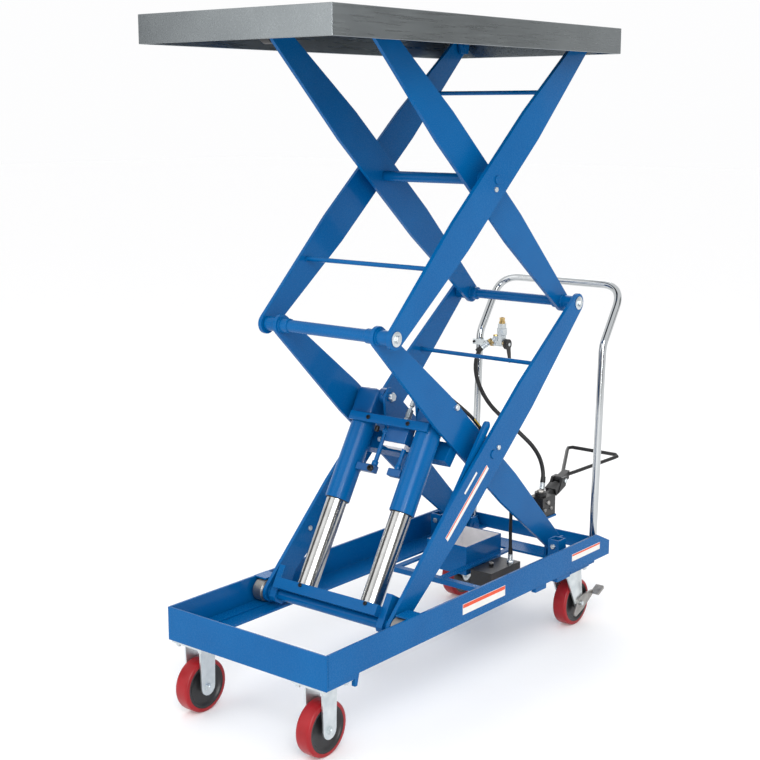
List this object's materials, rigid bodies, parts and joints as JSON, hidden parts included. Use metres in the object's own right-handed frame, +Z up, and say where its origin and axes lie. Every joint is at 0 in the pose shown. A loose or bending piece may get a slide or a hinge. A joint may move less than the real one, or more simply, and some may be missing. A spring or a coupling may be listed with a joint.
{
  "type": "double scissor lift table",
  "caption": "Mobile lift table: pan deck on a double scissor with hydraulic rams, on a caster base with a push handle and foot pump.",
  "frame": {"origin": "centre of the table's bounding box, on the floor", "axes": "+Z up, +X from the front plate to the push handle, +Y to the operator's right-hand rail"},
  "size_m": [1.5202, 0.548, 1.5745],
  "materials": {
    "blue_paint": "gloss",
    "stainless": "brushed",
    "chrome": "polished",
    "zinc": "satin",
    "roller_steel": "machined",
    "roller_nylon": "matte",
    "red_polyurethane": "satin",
    "black_core": "satin",
    "black_enamel": "satin",
    "black_plastic": "matte",
    "hose_rubber": "matte"
  },
  "bodies": {
    "chassis": {"rail_left": "blue_paint", "rail_right": "blue_paint", "front_end_plate": "blue_paint", "rear_end_plate": "blue_paint", "cross_brace": "blue_paint", "reservoir": "black_enamel", "base_pivot_left": "blue_paint", "base_pivot_right": "blue_paint", "push_handle": "chrome", "foot_pump": "black_enamel", "air_valve": "zinc", "front_fork_left": "zinc", "front_fork_right": "zinc", "air_hose": "hose_rubber", "oil_hose_base": "hose_rubber"},
    "lower_inner": {"inner_lower_leg_left": "blue_paint", "inner_lower_leg_right": "blue_paint", "front_middle_shaft": "blue_paint", "ram_bracket": "blue_paint", "oil_hose": "hose_rubber"},
    "lower_outer": {"outer_lower_leg_left": "blue_paint", "outer_lower_leg_right": "blue_paint", "roller_axle": "blue_paint", "lower_tie_rod": "blue_paint", "maintenance_prop": "blue_paint"},
    "upper_outer": {"outer_upper_leg_left": "blue_paint", "outer_upper_leg_right": "blue_paint", "upper_tie_rod_front": "blue_paint", "upper_tie_rod_rear": "blue_paint"},
    "upper_inner": {"inner_upper_leg_left": "blue_paint", "inner_upper_leg_right": "blue_paint", "rear_middle_shaft": "blue_paint", "upper_centre_tube": "blue_paint"},
    "deck": {"deck_pan": "stainless", "deck_track_left": "blue_paint", "deck_track_right": "blue_paint"},
    "ram_rods": {"ram_yoke": "blue_paint", "ram_rod_left": "chrome", "ram_rod_right": "chrome"},
    "ram_barrels": {"ram_barrel_left": "blue_paint", "ram_barrel_right": "blue_paint", "ram_crossbar": "blue_paint"},
    "foot_pedal": {"foot_pedal": "black_enamel"},
    "air_lever": {"air_lever": "black_plastic"},
    "front_wheel_left": {"front_wheel_left_tread": "red_polyurethane", "front_wheel_left_core": "black_core"},
    "front_wheel_right": {"front_wheel_right_tread": "red_polyurethane", "front_wheel_right_core": "black_core"},
    "rear_swivel_left": {"rear_fork_left": "zinc"},
    "rear_swivel_right": {"rear_fork_right": "zinc"},
    "rear_wheel_left": {"rear_wheel_left_tread": "red_polyurethane", "rear_wheel_left_core": "black_core"},
    "rear_wheel_right": {"rear_wheel_right_tread": "red_polyurethane", "rear_wheel_right_core": "black_core"},
    "brake_pedal_left": {"brake_pedal_left": "zinc"},
    "brake_pedal_right": {"brake_pedal_right": "zinc"},
    "base_roller_left": {"base_roller_left": "roller_steel"},
    "base_roller_right": {"base_roller_right": "roller_steel"},
    "deck_roller_left": {"deck_roller_left": "roller_nylon"},
    "deck_roller_right": {"deck_roller_right": "roller_nylon"}
  },
  "joints": [
    {"name": "lift", "type": "hinge", "parent": "chassis", "child": "lower_inner", "pos_m": [0.3142, 0, 0.22], "axis": [0, -1, 0], "range_deg": [0, 33.87]},
    {"name": "lower_centre", "type": "hinge", "parent": "lower_inner", "child": "lower_outer", "pos_m": [-0.0683, 0, 0.551], "axis": [0, -1, 0], "range_deg": [-68.24, 0]},
    {"name": "front_middle", "type": "hinge", "parent": "lower_inner", "child": "upper_outer", "pos_m": [-0.4508, 0, 0.882], "axis": [0, -1, 0], "range_deg": [-68.24, 0]},
    {"name": "upper_centre", "type": "hinge", "parent": "upper_outer", "child": "upper_inner", "pos_m": [-0.0683, 0, 1.213], "axis": [0, -1, 0], "range_deg": [0, 68.24]},
    {"name": "deck_pivot", "type": "hinge", "parent": "upper_outer", "child": "deck", "pos_m": [0.3142, 0, 1.544], "axis": [0, -1, 0], "range_deg": [0, 34.37]},
    {"name": "ram_foot", "type": "hinge", "parent": "lower_outer", "child": "ram_rods", "pos_m": [-0.4508, 0, 0.22], "axis": [0, -1, 0], "range_deg": [-6.64, 0]},
    {"name": "ram_stroke", "type": "slide", "parent": "ram_rods", "child": "ram_barrels", "axis": [0.5138, 0, 0.8579], "range_m": [-0.1717, 0]},
    {"name": "pedal", "type": "hinge", "parent": "chassis", "child": "foot_pedal", "pos_m": [0.5632, 0, 0.324], "axis": [0, 1, 0], "range_deg": [0, 14], "stiffness_Nm_per_rad": 14, "springref_deg": -17.19},
    {"name": "air_lever", "type": "hinge", "parent": "chassis", "child": "air_lever", "pos_m": [0.4382, 0.105, 0.726], "axis": [0, 1, 0], "range_deg": [0, 20], "stiffness_Nm_per_rad": 0.6, "springref_deg": -22.92},
    {"name": "front_wheel_left", "type": "hinge", "parent": "chassis", "child": "front_wheel_left", "pos_m": [-0.6968, -0.186, 0.0635], "axis": [0, 1, 0], "continuous": true},
    {"name": "front_wheel_right", "type": "hinge", "parent": "chassis", "child": "front_wheel_right", "pos_m": [-0.6968, 0.186, 0.0635], "axis": [0, 1, 0], "continuous": true},
    {"name": "rear_swivel_left", "type": "hinge", "parent": "chassis", "child": "rear_swivel_left", "pos_m": [0.3002, -0.186, 0.15], "axis": [0, 0, 1], "continuous": true},
    {"name": "rear_swivel_right", "type": "hinge", "parent": "chassis", "child": "rear_swivel_right", "pos_m": [0.3002, 0.186, 0.15], "axis": [0, 0, 1], "continuous": true},
    {"name": "rear_wheel_left", "type": "hinge", "parent": "rear_swivel_left", "child": "rear_wheel_left", "pos_m": [0.3322, -0.186, 0.0635], "axis": [0, 1, 0], "continuous": true},
    {"name": "rear_wheel_right", "type": "hinge", "parent": "rear_swivel_right", "child": "rear_wheel_right", "pos_m": [0.3322, 0.186, 0.0635], "axis": [0, 1, 0], "continuous": true},
    {"name": "brake_pedal_left", "type": "hinge", "parent": "rear_swivel_left", "child": "brake_pedal_left", "pos_m": [0.3322, -0.215, 0.0635], "axis": [0, 1, 0], "range_deg": [0, 12]},
    {"name": "brake_pedal_right", "type": "hinge", "parent": "rear_swivel_right", "child": "brake_pedal_right", "pos_m": [0.3322, 0.215, 0.0635], "axis": [0, 1, 0], "range_deg": [0, 12]},
    {"name": "base_roller_left", "type": "hinge", "parent": "lower_outer", "child": "base_roller_left", "pos_m": [-0.4508, -0.214, 0.22], "axis": [0, 1, 0], "continuous": true},
    {"name": "base_roller_right", "type": "hinge", "parent": "lower_outer", "child": "base_roller_right", "pos_m": [-0.4508, 0.214, 0.22], "axis": [0, 1, 0], "continuous": true},
    {"name": "deck_roller_left", "type": "hinge", "parent": "upper_inner", "child": "deck_roller_left", "pos_m": [-0.4508, -0.168, 1.544], "axis": [0, 1, 0], "continuous": true},
    {"name": "deck_roller_right", "type": "hinge", "parent": "upper_inner", "child": "deck_roller_right", "pos_m": [-0.4508, 0.168, 1.544], "axis": [0, 1, 0], "continuous": true}
  ],
  "couplings": [
    {"joint": "lower_centre", "follows": "lift", "ratio": -2},
    {"joint": "front_middle", "follows": "lift", "ratio": -2},
    {"joint": "upper_centre", "follows": "lift", "ratio": 2},
    {"joint": "deck_pivot", "follows": "lift", "ratio": 1},
    {"joint": "ram_foot", "follows": "lift", "ratio": -0.18141},
    {"joint": "ram_stroke", "follows": "lift", "m_per_rad": -0.287}
  ]
}
